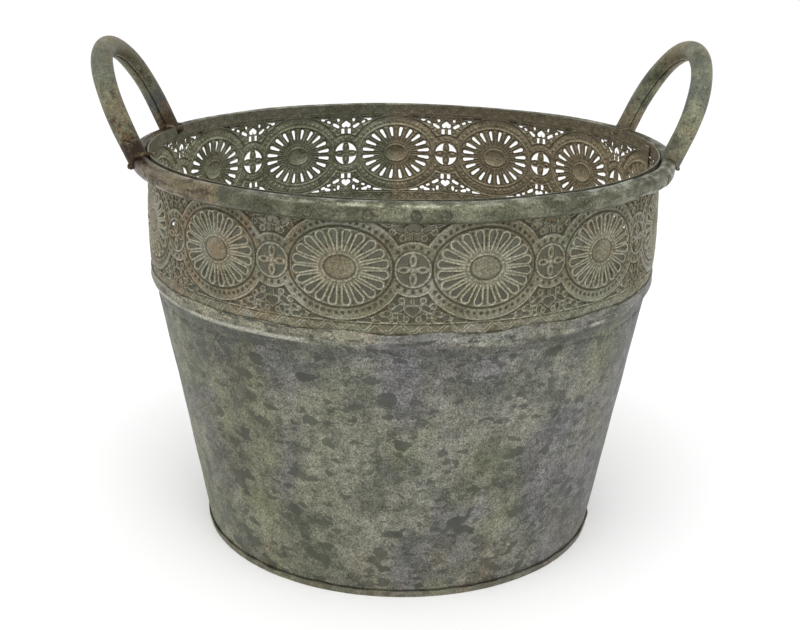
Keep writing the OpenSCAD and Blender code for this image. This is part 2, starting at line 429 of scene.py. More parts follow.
def tile_relief(x, y):
    """Height of the stamping at each point of a folded quarter, and of its lines alone."""
    gap = TILE_W / 2 - x
    around = np.hypot(gap, y)
    inside = ellipse_gap(x, y, MEDALLION)
    k = np.hypot(x / PETAL_OVAL[0], y / PETAL_OVAL[1])
    turn = np.arctan2(y / PETAL_OVAL[1], x / PETAL_OVAL[0])
    scallop = np.minimum(ellipse_gap(x, y, SCALLOP), around - ROUNDEL_SCALLOP_R)
    petals = quarter_petals(x, y, *PETAL_OUTLINE)

    lines = line(inside + 0.35, 0.5, 0.34) - line(inside - 0.45, 0.75, 0.40)
    lines += line(petals, 0.72, 0.34) - 0.42 / (1 + np.exp((petals + 0.5) / 0.14))
    lines -= 0.30 * (inside < 0) * (k > 0.5) / (1 + np.exp((0.55 - petals) / 0.12))
    lines += 0.22 * np.cos(turn * PETALS) * np.exp(-(((k - 0.38) / 0.06) ** 2))
    lines += line(ellipse_gap(x, y, DOME_BEAD), 0.45, 0.4)
    lines -= line(ellipse_gap(x, y, DOME_GROOVE), 0.35, 0.35)
    lines -= line(ellipse_gap(x, y, DOME_DIMPLES), 0.3, 0.4) * (1 + np.cos(turn * 2 * PETALS)) / 2

    lines += line(scallop, 0.5, 0.36) - line(scallop - 0.8, 0.4, 0.36)
    spandrel = (y < BORDER_Y) / (1 + np.exp((0.7 - scallop) / 0.12))
    lines -= 0.5 * spandrel
    for dot in dot_places():
        lines -= 0.75 * np.exp(-((np.hypot(x - dot[0], y - dot[1]) / 0.68) ** 2))

    lines += line(around - ROUNDEL_R, 0.62, 0.36) - line(around - ROUNDEL_R - 0.75, 0.4, 0.32)
    arm = np.maximum(gap, y)
    across = np.minimum(gap, y)
    in_roundel = around < ROUNDEL_R - 0.2
    lines -= 0.3 * in_roundel
    lines += line((np.hypot((arm - 3.9) / 2.1, across / 1.15) - 1) * 1.3, 0.75, 0.38) * in_roundel
    lines += 0.8 * np.exp(-((around / 0.9) ** 2))

    scroll = line(heart(gap, y) - 0.5, 0.95, 0.34)
    scroll = np.maximum(scroll, line(window(gap, y) - 0.45, 0.8, 0.3))
    for hole in SMALL_HOLES:
        scroll = np.maximum(scroll, line(capsule(gap, y, *hole) - 0.5, 0.85, 0.32))
    for centre, radius in CURLS:
        away = np.hypot(gap - centre[0], y - centre[1])
        scroll = np.maximum(scroll, line(away - radius, 1.0, 0.34) + line(away, 0.6, 0.4))
    lines += scroll * spandrel

    lines += line(y - BORDER_Y, 0.55, 0.32) - line(y - BORDER_Y - 0.6, 0.4, 0.28)
    lines += (line(zigzag_gap(x, y) - CHEVRON_HALF, 0.62, 0.3) - 0.1) * (y > BORDER_Y + 0.3)
    lines -= line(y - TOP_GROOVE_Y, 0.3, 0.35)
    dome = 1.5 * np.clip(1 - np.hypot(x / DOME[0], y / DOME[1]) ** 2, 0, None) ** 0.8
    return lines + dome, lines


def tile_grid():
    """The tile's grid of points, from the band's tucked lower edge to its top lip."""
    low, high = BAND_LOW_Z - BAND_MID_Z, BAND_LIP_Z - BAND_MID_Z
    nx = 2 * int(round(TILE_W / GRID_STEP / 2)) + 1
    ny = int(round((high - low) / GRID_STEP)) + 1
    x, y = np.meshgrid(np.linspace(-TILE_W / 2, TILE_W / 2, nx), np.linspace(low, high, ny))
    return x, y


def cut_tile():
    """Points and faces of the tile with its openings cut by marching over triangles.

    Gives flat x, y points, faces as index lists, and the edges that run round the openings."""
    x, y = tile_grid()
    ny, nx = x.shape
    solid = tile_holes(np.abs(x), np.abs(y)).ravel()
    solid = np.where(np.abs(solid) < 0.02, 0.02, solid)
    points = np.stack([x.ravel(), y.ravel()], axis=1)
    index = np.arange(nx * ny).reshape(ny, nx)
    corners = [index[:-1, :-1], index[:-1, 1:], index[1:, 1:], index[1:, :-1]]
    quads = np.stack(corners, axis=-1).reshape(-1, 4)
    inside = (solid[quads] > 0).sum(axis=1)
    faces = [tuple(q) for q in quads[inside == 4].tolist()]
    mixed = quads[(inside > 0) & (inside < 4)]
    triangles = np.vstack([mixed[:, [0, 1, 2]], mixed[:, [0, 2, 3]]]).tolist()
    extra, crossings, rim_edges = [], {}, []

    def crossing(a, b):
        key = (min(a, b), max(a, b))
        if key not in crossings:
            t = solid[key[0]] / (solid[key[0]] - solid[key[1]])
            extra.append(points[key[0]] + t * (points[key[1]] - points[key[0]]))
            crossings[key] = len(points) + len(extra) - 1
        return crossings[key]

    for triangle in triangles:
        keep = [solid[i] > 0 for i in triangle]
        if all(keep):
            faces.append(tuple(triangle))
        elif any(keep):
            ring, cuts = [], {}
            for n in range(3):
                a, b = triangle[n], triangle[(n + 1) % 3]
                if keep[n]:
                    ring.append(a)
                if keep[n] != keep[(n + 1) % 3]:
                    cuts[keep[n]] = crossing(a, b)
                    ring.append(cuts[keep[n]])
            faces.append(tuple(ring))
            rim_edges.append((cuts[True], cuts[False]))
    return np.vstack([points, np.array(extra)]), faces, rim_edges


def band_profile(height):
    """Radius of the band's outer face, tucked in at both edges and full between."""
    z = [BAND_LOW_Z, COLLAR_Z + 0.6, COLLAR_Z + 8, BAND_MID_Z - 3, RIM_LOW_Z - 1, BAND_LIP_Z]
    r = [COLLAR_R - 0.9, COLLAR_R - 0.9, BAND_R, BAND_R, BAND_R - 0.9, BAND_R - 0.9]
    knots = rounded(list(zip(z, r)), 4.0, 6)
    return np.interp(height, knots[:, 0], knots[:, 1])


def make_band(material):
    """Thirteen panels of one strip, each a tile wrapped round the bucket."""
    flat, faces, rim_edges = cut_tile()
    used = np.unique(np.concatenate([np.array(f) for f in faces]))
    renumber = np.full(len(flat), -1)
    renumber[used] = np.arange(len(used))
    x, y = flat[used].T
    relief, lines = tile_relief(np.abs(x), np.abs(y))
    count = len(used)
    front = [tuple(int(renumber[i]) for i in f) for f in faces]
    back = [tuple(i + count for i in reversed(f)) for f in front]
    height = BAND_MID_Z + y
    top = np.flatnonzero(y > y.max() - 1e-6)
    top = top[np.argsort(x[top])]
    edges = [(renumber[a], renumber[b]) for a, b in rim_edges] + list(zip(top, top[1:]))
    walls = [(int(b), int(a), int(a) + count, int(b) + count) for a, b in edges]
    tucked = np.clip((height - COLLAR_Z) / 1.5, 0, 1) * np.clip((RIM_LOW_Z + 1 - height) / 2, 0, 1)
    depth = 0.35 + 0.65 * tucked
    outward = np.where(tucked < 1, np.minimum(relief, 0.05), relief) * depth
    # the lip's rise in the relief attribute is a painted highlight along the band's top edge
    lip = 0.9 * np.clip((height - BAND_LIP_Z + 0.9) / 0.5, 0, 1)
    u = (x / TILE_W + 0.5) * 0.49
    v = (y - y.min()) / (y.max() - y.min())
    uv = np.concatenate([np.stack([u, v], 1), np.stack([u + 0.51, v], 1)])
    for i in range(MEDALLIONS):
        angle = FIRST_MEDALLION + i * PITCH + x / TILE_W * PITCH
        radius = band_profile(height) - 0.1 + 0.12 * wave_noise(angle, height, RNG_SEED, slow=14)
        outer = on_circle(radius + 0.75 * outward, angle, height)
        inner = on_circle(radius - BAND_T + 0.75 * relief * depth, angle, height)
        make_piece(
            f"pierced_band_panel_{i + 1:02d}",
            np.vstack([outer, inner]),
            front + back + walls,
            material,
            replaced=("pierced_band",),
            floats={
                "relief": np.concatenate([lines + lip, -lines + lip]),
                "back": np.concatenate([np.zeros(count), np.ones(count)]),
            },
            uv=uv,
        )


# ---- wall and base

WALL_STEPS = 600
SEAM_ANGLE = math.radians(96)
SEAM_HALF = math.radians(2.2)
HEM_H = 3.2
PANEL_R = 92.0
PANEL_Z = 4.0


def round_angles(steps, *joints):
    """Even angles round the bucket, with a few more at each joint."""
    angles = [np.linspace(-math.pi, math.pi, steps, endpoint=False)]
    for joint in joints:
        angles.append(joint + np.radians(np.linspace(-0.5, 0.5, 11)))
    return np.unique(np.concatenate(angles))


def make_wall(material):
    """The tapered sheet with its lap seam, shoulder and uneven collar edge."""
    foot_r = HEM_R - SHEET_T - 0.6
    taper_z = COLLAR_Z - 12.5
    slope = (COLLAR_R - 3.0 - foot_r) / (taper_z - WALL_FOOT_Z)
    outer = [
        (foot_r, WALL_FOOT_Z),
        (foot_r + slope * (taper_z - 1.6 - WALL_FOOT_Z), taper_z - 1.6),
        (foot_r + slope * (taper_z - WALL_FOOT_Z) - 0.5, taper_z),
        (COLLAR_R - 2.6, taper_z + 2.0),
        (COLLAR_R - 1.0, taper_z + 5.8),
        (COLLAR_R - 0.05, taper_z + 7.2),
        (COLLAR_R - 0.3, taper_z + 9.6),
        (COLLAR_R - 0.1, COLLAR_Z - 0.2),
        (COLLAR_R - 0.35, COLLAR_Z),
    ]
    line_out = resample(rounded(outer, 0.9), 2.6)
    line_in = resample(rounded(outer, 0.9, 1), 5.0)[::-1] - [SHEET_T, 0]
    section = np.vstack([line_out, line_in])
    angle = round_angles(WALL_STEPS, SEAM_ANGLE - SEAM_HALF, SEAM_ANGLE + SEAM_HALF)
    r, z = section[:, :1], section[:, 1:]
    dents = 0.3 * wave_noise(angle, z, 11, terms=9, slow=11)
    dents += 0.12 * wave_noise(angle, z, 12, terms=9, slow=40, tall=0.25)
    damp = np.clip((z - 2) / 20, 0, 1) * np.clip((COLLAR_Z + 3 - z) / 12, 0.25, 1)
    lap = 0.75 * (np.abs(angle - SEAM_ANGLE) < SEAM_HALF) * (z < taper_z)
    is_outer = (np.arange(len(section)) < len(line_out))[:, None]
    edge = np.exp(-(((z - COLLAR_Z) / 2.5) ** 2)) * (0.45 * wave_noise(angle, 0 * z, 13, terms=8, slow=22))
    radius = r + dents * damp + lap * is_outer
    points = on_circle(radius, angle + 0 * z, z + edge).reshape(-1, 3)
    faces = lathe_faces(len(section), len(angle), closed=True)
    make_piece(
        "body_wall_sheet", points, faces, material, ("body_wall",),
        floats={"inside": np.repeat(~is_outer, len(angle))},
    )


def make_base(material):
    """The raised base disc and the hem that folds up round the wall's foot."""
    hem_foot_r = HEM_R - 0.56
    wall_foot_r = HEM_R - SHEET_T - 0.6
    section = [
        (0.0, PANEL_Z + SHEET_T), (PANEL_R + 0.3, PANEL_Z + SHEET_T), (wall_foot_r - 4.6, SHEET_T),
        (wall_foot_r + 0.05, SHEET_T), (HEM_R - SHEET_T, HEM_H), (HEM_R, HEM_H), (hem_foot_r, 0.0),
        (wall_foot_r - 5.0, 0.0), (PANEL_R, PANEL_Z), (0.0, PANEL_Z),
    ]
    line = resample(rounded(section, 0.3), 4.0)
    angle = round_angles(480)
    r, z = line[:, :1], line[:, 1:]
    hem = np.clip((r - HEM_R + 2) / 1, 0, 1) * np.clip(z / 2, 0, 1)
    radius = r + hem * 0.22 * wave_noise(angle, 0 * z, 21, terms=10, slow=40)
    height = z + hem * 0.25 * wave_noise(angle, 0 * z, 22, terms=10, slow=50)
    height += 0.5 * np.clip(1 - r / PANEL_R, 0, 1) * wave_noise(angle, 0 * z, 23, slow=3)
    points = on_circle(np.maximum(radius, 0.3), angle + 0 * z, height).reshape(-1, 3)
    faces = lathe_faces(len(line), len(angle), closed=False)
    steps = len(angle)
    faces.append(list(range(steps))[::-1])
    faces.append([(len(line) - 1) * steps + k for k in range(steps)])
    make_piece("base_plate_sheet", points, faces, material, ("base_plate",))


BAND_LAP = math.radians(91.5)


def make_band_lap(material):
    """The end of the band's strip, lapped inside its start, its edge a little sprung."""
    columns, rows = 15, 60
    across = np.linspace(-0.5, 0.5, columns)
    z = np.linspace(COLLAR_Z - 3, BAND_TOP_Z - 0.2, rows)[:, None]
    angle = BAND_LAP + across * 5.5 / BAND_R + 0.0015 * wave_noise(0 * z, z, 51, tall=0.3)
    spring = 0.9 * np.clip(across + 0.1, 0, 1) ** 1.5 * (1 + 0.4 * wave_noise(0 * z, z, 52, tall=0.2))
    outer = band_profile(z) - 0.1 - BAND_T - 0.35 - spring + 0.1 * wave_noise(angle * 40, z, 53, tall=0.6)
    layers = [on_circle(r, angle, z).reshape(-1, 3) for r in (outer, outer - 0.5)]
    count = rows * columns
    grid = np.arange(count).reshape(rows, columns)
    faces = []
    for a in grid[:-1, :-1].ravel().tolist():
        d = a + columns
        faces += [[a, a + 1, d + 1, d], [count + d, count + d + 1, count + a + 1, count + a]]
    border = np.concatenate([grid[0], grid[1:, -1], grid[-1, -2::-1], grid[-2:0:-1, 0]]).tolist()
    for a, b in zip(border, border[1:] + border[:1]):
        faces.append([b, a, count + a, count + b])
    make_piece(
        "pierced_band_lap", np.vstack(layers), faces, material, ("pierced_band",),
        floats={"relief": np.full(2 * count, 0.05), "back": np.ones(2 * count)},
    )


# ---- rim hoop and its rivets

RIM_W = 7.6
ROLL_R = RIM_W / 2
RIM_MID_R = RIM_R - ROLL_R
RIM_MID_Z = (RIM_TOP_Z + RIM_LOW_Z) / 2
RIM_FLAT = (RIM_TOP_Z - RIM_LOW_Z) / 2 - ROLL_R
RIM_T = 0.9
RIM_JOINT = math.radians(48.5)
# in degrees from the front
RIVET_ANGLES = (-19.8, -9.1, -0.7, 4.5, 32.2, 62, 118, 150, 181, 221, 300)
RIVET_R = 2.7
RIVET_Z = RIM_MID_Z - 0.7


def roll_section(size, turns):
    """Points of the hoop's rolled section, an upright stadium, at given turns round it."""
    s = np.sin(turns)
    return np.stack([size * np.cos(turns), size * s + RIM_FLAT * np.clip(4 * s, -1, 1)], axis=1)


def rim_wobble(angle):
    """How far the hoop strays from a true circle, outwards and upwards."""
    out = 0.28 * wave_noise(angle, 0.0, 31, terms=9, slow=16)
    return out, 0.22 * wave_noise(angle, 0.0, 32, terms=9, slow=13)


def make_rim(material):
    """The hoop rolled from sheet, open along the slit against the band, with one butt joint."""
    slit = math.radians(205)
    turns = np.linspace(slit + 0.09, slit + 2 * math.pi - 0.09, 40)
    section = np.vstack([roll_section(ROLL_R, turns), roll_section(ROLL_R - RIM_T, turns[::-1])])
    angle = round_angles(720, RIM_JOINT)
    out, up = rim_wobble(angle)
    r, z = section[:, :1], section[:, 1:]
    joint = 0.45 * np.exp(-((np.degrees(angle - RIM_JOINT) / 0.14) ** 2))
    step = 0.22 * (angle > RIM_JOINT) * (angle < RIM_JOINT + math.radians(5))
    shrink = 1 - (joint + step) / ROLL_R
    radius = RIM_MID_R + out + r * shrink
    height = RIM_MID_Z + up + z * shrink
    points = on_circle(radius, angle + 0 * z, height).reshape(-1, 3)
    faces = lathe_faces(len(section), len(angle), closed=True)
    make_piece("rim_hoop_roll", points, faces, material, ("rim_hoop",))


def make_rivets(material):
    """The low heads on the hoop's face: a flat button in a pressed ring."""
    points, faces, rises = [], [], []
    rings = np.array([0.0, 0.7, 1.3, 1.75, 2.0, 2.25, 2.5, RIVET_R, RIVET_R + 0.15])
    proud = np.array([0.30, 0.30, 0.26, 0.14, 0.06, 0.16, 0.22, 0.08, -0.5])
    steps = 28
    around = np.linspace(0, 2 * math.pi, steps, endpoint=False)
    for number, degrees in enumerate(RIVET_ANGLES):
        lumps = np.random.default_rng(RNG_SEED + number)
        middle = math.radians(degrees)
        out, up = rim_wobble(np.array([middle]))
        start = len(points)
        uneven = 1 + 0.07 * np.sin(2 * around + lumps.uniform(0, 6))
        uneven += 0.05 * np.sin(3 * around + lumps.uniform(0, 6))
        for ring, rise in zip(rings, proud):
            along, tall = ring * np.cos(around) * uneven, ring * np.sin(around) * uneven
            away = np.clip(np.abs(RIVET_Z + tall - RIM_MID_Z) - RIM_FLAT, 0, ROLL_R - 0.1)
            surface = RIM_MID_R + out + np.sqrt(ROLL_R**2 - away**2)
            bump = rise + 0.05 * np.sin(5 * around + ring * 3 + lumps.uniform(0, 6))
            points += on_circle(surface + bump, middle + along / RIM_R, RIVET_Z + tall + up).tolist()
            rises += [rise] * steps
        faces += [[start + i for i in face] for face in lathe_faces(len(rings), steps, closed=False)]
        faces.append([start + (len(rings) - 1) * steps + k for k in range(steps)][::-1])
    make_piece(
        "rim_rivet_heads", points, faces, material, ("rim_rivets",), floats={"rise": rises}
    )


# ---- handles and welds

TUBE_R = 5.0
TUBE_T = 1.0
LOOP_R = 39.2
LEG_H = 12.2
FOOT_DROP = 1.5
HANDLE_TILT = math.radians(23.8)
HANDLE_ANGLE = math.radians(93.6)
FOOT_Z = RIM_TOP_Z - 2.8
FOOT_X = math.sqrt((RIM_MID_R + 0.9) ** 2 - LOOP_R**2)


def handle_axes(side):
    """A handle's origin between its feet, and its axes across the feet, up the loop and out of it."""
    turn = Matrix.Rotation(side * (HANDLE_ANGLE - math.pi / 2) + (0 if side > 0 else math.pi), 3, "Z")
    origin = np.array(turn @ Vector((FOOT_X, 0, FOOT_Z)))
    across = np.array(turn @ Vector((0, 1, 0)))
    up = np.array(turn @ Vector((math.sin(HANDLE_TILT), 0, math.cos(HANDLE_TILT))))
    return origin, across, up, np.cross(across, up)


def loop_line(side):
    """Points and outward directions along a handle's middle line, from foot to foot."""
    leg = np.linspace(-FOOT_DROP, LEG_H, 9)[:-1]
    arc = np.linspace(0, math.pi, 97)
    u = np.concatenate([np.full(len(leg), LOOP_R), LOOP_R * np.cos(arc), np.full(len(leg), -LOOP_R)])
    v = np.concatenate([leg, LEG_H + LOOP_R * np.sin(arc), leg[::-1]])
    nu = np.concatenate([np.ones(len(leg)), np.cos(arc), -np.ones(len(leg))])
    nv = np.concatenate([0 * leg, np.sin(arc), 0 * leg])
    origin, across, up, out = handle_axes(side)
    run = np.linspace(0, 1, len(u))[:, None]
    sway = 0.5 * np.sin(math.pi * run) * np.sin(7 * run + side)
    middle = origin + u[:, None] * across + v[:, None] * up + sway * out
    normal = nu[:, None] * across + nv[:, None] * up
    return middle, normal, out


def make_handle(name, side, material, replaced):
    """A tube rolled from sheet, its slit on the inside of the loop."""
    middle, normal, out = loop_line(side)
    half_slit = 0.05
    turns = np.linspace(math.pi + half_slit, 3 * math.pi - half_slit, 34)
    count = len(turns)
    section = np.vstack([
        TUBE_R * np.stack([np.cos(turns), np.sin(turns)], 1),
        (TUBE_R - TUBE_T) * np.stack([np.cos(turns[::-1]), np.sin(turns[::-1])], 1),
    ])
    run = np.linspace(0, 1, len(middle))
    size = 1 + 0.02 * np.sin(9 * run + side) + 0.012 * np.sin(31 * run + 2 * side)
    wide, tall = size[:, None, None] * section.T[:, None, :, None]
    points = middle[:, None, :] + wide * normal[:, None, :] + tall * out
    faces = lathe_faces(len(middle), 2 * count, closed=False)
    for ring, turn_over in ((0, False), (len(middle) - 1, True)):
        base = ring * 2 * count
        for k in range(count - 1):
            quad = [base + k, base + k + 1, base + 2 * count - 2 - k, base + 2 * count - 1 - k]
            faces.append(quad[::-1] if turn_over else quad)
    make_piece(name, points.reshape(-1, 3), faces, material, (replaced,))


def inside_rim(points):
    """Whether points lie inside the hoop's filled section."""
    r = np.hypot(points[..., 0], points[..., 1]) - RIM_MID_R
    away = np.clip(np.abs(points[..., 2] - RIM_MID_Z) - RIM_FLAT, 0, None)
    return r**2 + away**2 < ROLL_R**2


def make_weld(name, side, end, material, seed, rust, replaced):
    """An uneven bead that follows the line where a handle's foot meets the hoop, big where rusty."""
    origin, across, up, out = handle_axes(side)
    foot = origin + end * LOOP_R * across
    steps, ring = 72, 22
    around = np.linspace(0, 2 * math.pi, steps, endpoint=False)
    spoke = np.cos(around)[:, None] * across + np.sin(around)[:, None] * out
    heights = np.linspace(-FOOT_DROP, 7, 120)
    probe = foot + TUBE_R * spoke[:, None, :] + heights[None, :, None] * up
    met = np.where(inside_rim(probe), heights, -FOOT_DROP).max(axis=1)
    for _ in range(6):
        met = (np.roll(met, 1) + 2 * met + np.roll(met, -1)) / 4
    rng = np.random.default_rng(seed)
    lump = sum(np.sin(k * around + rng.uniform(0, 6)) * rng.uniform(0.3, 1) / k**0.6 for k in range(2, 15))
    inward = -(spoke @ (foot * [1, 1, 0])) / np.hypot(foot[0], foot[1])
    thick = (0.75 + 0.65 * rust + (0.12 + 0.30 * rust) * lump) * (1 + 0.6 * rust * np.clip(inward, 0, 1))
    c = np.linspace(0, 2 * math.pi, ring, endpoint=False)
    grain = (0.06 + 0.12 * rust) * rng.standard_normal((steps, ring))
    bead = thick[:, None] * (1 + grain)
    away = TUBE_R - 0.3 + bead * np.cos(c)
    rise = met[:, None] + 0.2 + 0.85 * bead * np.sin(c)
    points = foot + away[..., None] * spoke[:, None, :] + rise[..., None] * up
    faces = lathe_faces(steps, ring, closed=True)
    make_piece(name, points.reshape(-1, 3), faces, material, (replaced,))


# ---- materials


def wall_material(name, under=False):
    """Weathered galvanised sheet: angular flakes of spangle, speckle, fields of stain, and painted light
    and shade on the shoulder and the inside face.
    """
    n = Nodes(name)
    angle, height = n.azimuth(), n.height()
    squat = n.stretch(1, 1, 1.5)
    big = n.cells(n.shift(squat, 170, 0.006), 150)
    small = n.cells(n.shift(squat, 300, 0.003), 270)
    dark_flake = n.most(n.ramp(big["X"], 0.055, 0.06, 1, 0), n.ramp(small["X"], 0.07, 0.08, 0.9, 0))
    pale_flake = n.most(n.ramp(big["Y"], 0.74, 0.78), n.ramp(small["Y"], 0.78, 0.82, 0, 0.8))
    cloud = n.noise(42, 5.0, 0.65)
    mottle = n.noise(230, 4.0, 0.7)
    streak = n.noise(120, 4.0, 0.6, coords=n.stretch(1, 1, 0.16))

    colour = n.mix(n.ramp(cloud, 0.38, 0.62), (87, 88, 79), (113, 113, 102))
    colour = n.dye(colour, n.ramp(big["Z"], 0.0, 1.0, 0.86, 1.12, smooth=False))
    colour = n.dye(colour, n.ramp(mottle, 0.36, 0.64, 0.84, 1.16))
    colour = n.lay(colour, (132, 132, 120), pale_flake, 0.36)
    colour = n.lay(colour, (66, 67, 60), dark_flake, 0.76)
    calm = n.math("SUBTRACT", 1.0, n.times(dark_flake, 0.75))
    colour = n.dye(colour, n.ramp(streak, 0.3, 0.7, 0.88, 1.1))

    green = n.ramp(n.noise(19, 3.0, coords=n.stretch(1, 1, 0.7)), 0.5, 0.66)
    left = n.between(angle, -120, -14, 22)
    green = n.plus(n.times(green, 0.6), n.times(left, 0.4))
    colour = n.dye(colour, (250, 254, 214), green)
    violet = n.ramp(n.noise(15, 2.0, coords=n.stretch(1.1, 1.1, 0.9)), 0.48, 0.62)
    colour = n.dye(colour, (241, 237, 262), n.times(violet, 0.95))
    dull = n.ramp(n.noise(60, 4.0, 0.6), 0.54, 0.64)
    colour = n.dye(colour, (232, 232, 230), n.times(dull, 0.7))

    top = n.ramp(height, COLLAR_Z - 34, COLLAR_Z - 10)
    colour = n.dye(colour, (234, 234, 242), n.times(top, 0.7))
    smudge = n.ramp(n.noise(120, 5.0, 0.7, coords=n.stretch(1, 1, 2.6)), 0.5, 0.6)
    collar = n.ramp(height, COLLAR_Z - 5.2, COLLAR_Z - 3.6)
    aged = n.mix(n.ramp(angle, -14, 4), (144, 140, 120), (122, 123, 117))
    colour = n.lay(colour, aged, collar, n.ramp(cloud, 0.4, 0.6, 0.3, 0.7))
    # dark smudges, more of them near the shoulder and towards the top
    upper_smudge_mask = n.most(n.ramp(height, COLLAR_Z - 15, COLLAR_Z - 9), n.times(top, 0.45))
    colour = n.lay(colour, (58, 58, 53), n.times(upper_smudge_mask, smudge), 0.8)
    # painted highlight along the shoulder's crest, partly rubbed wear, brighter on the left
    crest_wear_and_sheen = n.noise(60, 4.0)
    crest = n.between(height, COLLAR_Z - 6.6, COLLAR_Z - 4.6, 0.6)
    crest = n.times(crest, n.ramp(n.plus(crest_wear_and_sheen, n.times(left, 0.16)), 0.5, 0.66, 0.1, 0.9))
    colour = n.mix(crest, colour, (160, 159, 146))
    shade = n.between(height, COLLAR_Z - 11.4, COLLAR_Z - 7.6, 0.8)
    colour = n.lay(colour, (70, 70, 66), shade, 0.45)
    colour = n.speckled(colour, calm)

    rusty = n.ramp(n.noise(55, 5.0, 0.65, coords=n.stretch(1, 1, 0.45)), 0.5, 0.66)
    low = n.ramp(height, 4, 36, 1, 0)
    near_collar = n.ramp(height, COLLAR_Z - 9, COLLAR_Z - 3)
    brown = n.times(rusty, n.most(low, n.times(near_collar, 0.6)))
    far_left = n.between(angle, -110, -46, 14)
    brown = n.times(brown, n.plus(n.times(far_left, 0.75), 0.3))
    colour = n.dye(colour, (292, 236, 186), brown)
    foot = n.between(height, HEM_H - 0.2, HEM_H + 0.8, 0.4)
    colour = n.lay(colour, (52, 49, 40), foot, 0.7)
    if under:
        colour = n.mix(0.3, colour, (112, 104, 84))
    else:
        # painted light: the inside face is lightened to stand in for light inside the bucket
        colour = n.lay(colour, (142, 140, 124), n.attribute("inside"), 0.65)

    roughness = n.plus(n.ramp(cloud, 0.3, 0.7, 0.5, 0.64), n.times(dark_flake, -0.07))
    bump = n.plus(n.times(mottle, 0.5), n.times(dark_flake, -0.25))
    return n.finish(colour, roughness, 0.12, bump, 0.14)


def band_material():
    """Stamped zinc, dark in its grooves, lighter on its high lines as bare zinc and painted highlight,
    browner on the left, with painted shade under the hoop.
    """
    n = Nodes("stamped zinc")
    angle, height = n.azimuth(), n.height()
    relief = n.attribute("relief")
    back = n.attribute("back")
    grit = n.noise(700, 4.0, 0.75)
    cloud = n.noise(60, 5.0, 0.62)
    blotch = n.noise(200, 4.0, 0.6)
    relief_wear_and_sheen = n.plus(relief, n.times(n.math("SUBTRACT", blotch, 0.5), 0.5))

    colour = n.mix(n.ramp(cloud, 0.35, 0.65), (98, 95, 76), (118, 116, 99))
    chalk = n.ramp(n.noise(34, 3.0), 0.54, 0.64)
    colour = n.lay(colour, (147, 148, 138), chalk, 0.42)
    verdigris = n.ramp(n.noise(27, 3.0, coords=n.stretch(1, 1, 1.3)), 0.53, 0.63)
    colour = n.lay(colour, (108, 116, 94), verdigris, 0.45)

    left = n.between(angle, -130, -24, 20)
    rusty = n.ramp(n.noise(75, 5.0, 0.65), 0.42, 0.62)
    brown = n.times(rusty, n.plus(n.times(left, 0.5), 0.2))
    colour = n.mix(brown, colour, (121, 102, 76))

    # painted highlight on the raised lines, partly bare zinc rubbed on them
    high = n.ramp(relief_wear_and_sheen, 0.16, 0.52)
    colour = n.lay(colour, (166, 164, 146), high, 0.66)
    grime = n.ramp(relief_wear_and_sheen, 0.02, -0.34)
    colour = n.lay(colour, (62, 57, 42), grime, 0.86)
    colour = n.speckled(colour)

    warm = n.ramp(angle, 20, 70)
    plain = n.mix(n.ramp(cloud, 0.35, 0.65), (112, 113, 92), (142, 142, 122))
    plain = n.lay(plain, (146, 132, 108), warm, 0.8)
    plain = n.lay(plain, (72, 68, 54), n.ramp(relief_wear_and_sheen, 0.1, -0.3), 0.5)
    plain = n.lay(plain, (78, 74, 56), n.ramp(blotch, 0.54, 0.64), 0.5)
    # raised lines on the inside lighter too, partly bare zinc and partly painted highlight
    plain = n.lay(plain, (150, 149, 132), n.ramp(relief_wear_and_sheen, 0.2, 0.5), 0.35)
    # painted light: the band's inside at the sides is brightened to stand in for light reaching it
    sides = n.between(n.math("ABSOLUTE", angle), 50, 128, 20)
    plain = n.dye(plain, (292, 290, 286), n.times(sides, 0.9))
    plain = n.speckled(plain)
    colour = n.mix(back, colour, plain)
    shade = n.ramp(height, RIM_LOW_Z - 2.2, RIM_LOW_Z - 0.2)
    colour = n.lay(colour, (58, 54, 42), shade, 0.5)

    roughness = n.plus(n.ramp(blotch, 0.3, 0.7, 0.5, 0.64), n.times(high, -0.1))
    bump = n.plus(n.times(grit, 0.4), n.times(blotch, 0.6))
    return n.finish(colour, roughness, n.ramp(relief_wear_and_sheen, -0.2, 0.5, 0.15, 0.5), bump, 0.15)


# where the old stain on the hoop ends, in degrees
STAIN_EDGE = -38.0


